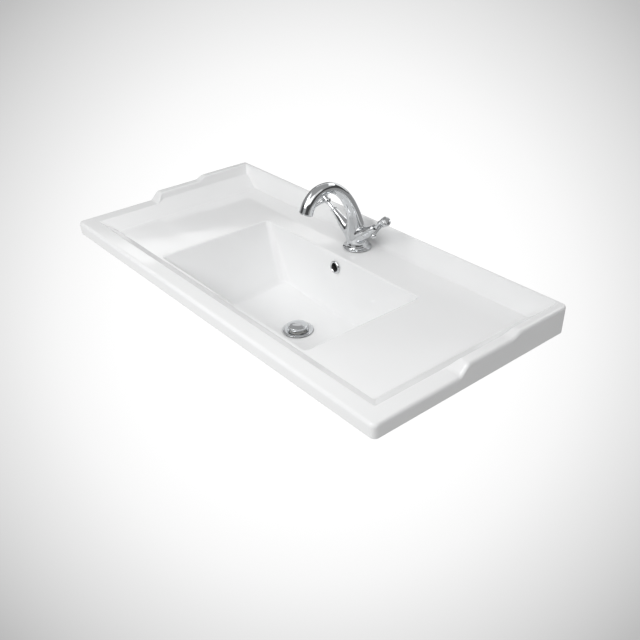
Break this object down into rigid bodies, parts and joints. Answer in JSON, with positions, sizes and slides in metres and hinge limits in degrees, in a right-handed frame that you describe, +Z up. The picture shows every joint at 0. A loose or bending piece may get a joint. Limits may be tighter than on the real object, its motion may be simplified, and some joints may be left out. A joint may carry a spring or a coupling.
{
  "type": "vanity basin with mixer tap",
  "caption": "Wide rectangular ceramic vanity basin with stepped side rims, a sunk tray and bowl, an overflow, a swan-neck mixer tap with lever handles and a push-plug waste.",
  "frame": {"origin": "centre of the flat back face that goes against the wall", "axes": "+X to the user's right along the basin's width, +Y out of the back face into the wall, +Z up"},
  "size_m": [1, 0.47, 0.3934],
  "materials": {
    "glazed_ceramic": "white gloss glaze",
    "chrome_plate": "polished chrome plate",
    "brass": "turned",
    "black_rubber": "matt",
    "white_plastic": "moulded",
    "steel": "zinc plated"
  },
  "bodies": {
    "basin": {"basin": "glazed_ceramic", "overflow_ring": "chrome_plate", "waste_flange": "chrome_plate", "aerator_ring": "chrome_plate", "tap_body": "chrome_plate", "tap_base_ring": "chrome_plate", "hot_bonnet": "chrome_plate", "cold_bonnet": "chrome_plate", "waste_top_seal": "black_rubber", "waste_lower_seal": "black_rubber", "tap_gasket": "black_rubber", "horseshoe_gasket": "black_rubber", "waste_slip_washer": "white_plastic", "waste_cartridge": "white_plastic", "aerator_insert": "white_plastic", "waste_backnut": "brass", "hot_cartridge": "brass", "cold_cartridge": "brass", "hot_inlet": "brass", "cold_inlet": "brass", "stud_nut": "brass", "waste_spring": "steel", "fixing_stud": "steel", "horseshoe_plate": "steel"},
    "hot_lever": {"hot_spindle": "chrome_plate", "hot_hub": "chrome_plate", "hot_lever": "chrome_plate", "hot_index_cap": "chrome_plate"},
    "cold_lever": {"cold_spindle": "chrome_plate", "cold_hub": "chrome_plate", "cold_lever": "chrome_plate", "cold_index_cap": "chrome_plate"},
    "plug": {"plug_cap": "chrome_plate", "plug_seal": "black_rubber", "plug_stem": "white_plastic"}
  },
  "joints": [
    {"name": "hot_lever_turn", "type": "hinge", "parent": "basin", "child": "hot_lever", "pos_m": [0, -0.06, 0.003], "axis": [-0.8014, -0.0631, 0.5948], "range_deg": [0, 90]},
    {"name": "cold_lever_turn", "type": "hinge", "parent": "basin", "child": "cold_lever", "pos_m": [0, -0.06, 0.003], "axis": [-0.8014, 0.0631, -0.5948], "range_deg": [0, 90]},
    {"name": "plug_slide", "type": "slide", "parent": "basin", "child": "plug", "axis": [0, 0, 1], "range_m": [-0.008, 0], "stiffness_N_per_m": 300, "springref_m": 0.004, "deforming": ["waste_spring"]}
  ]
}
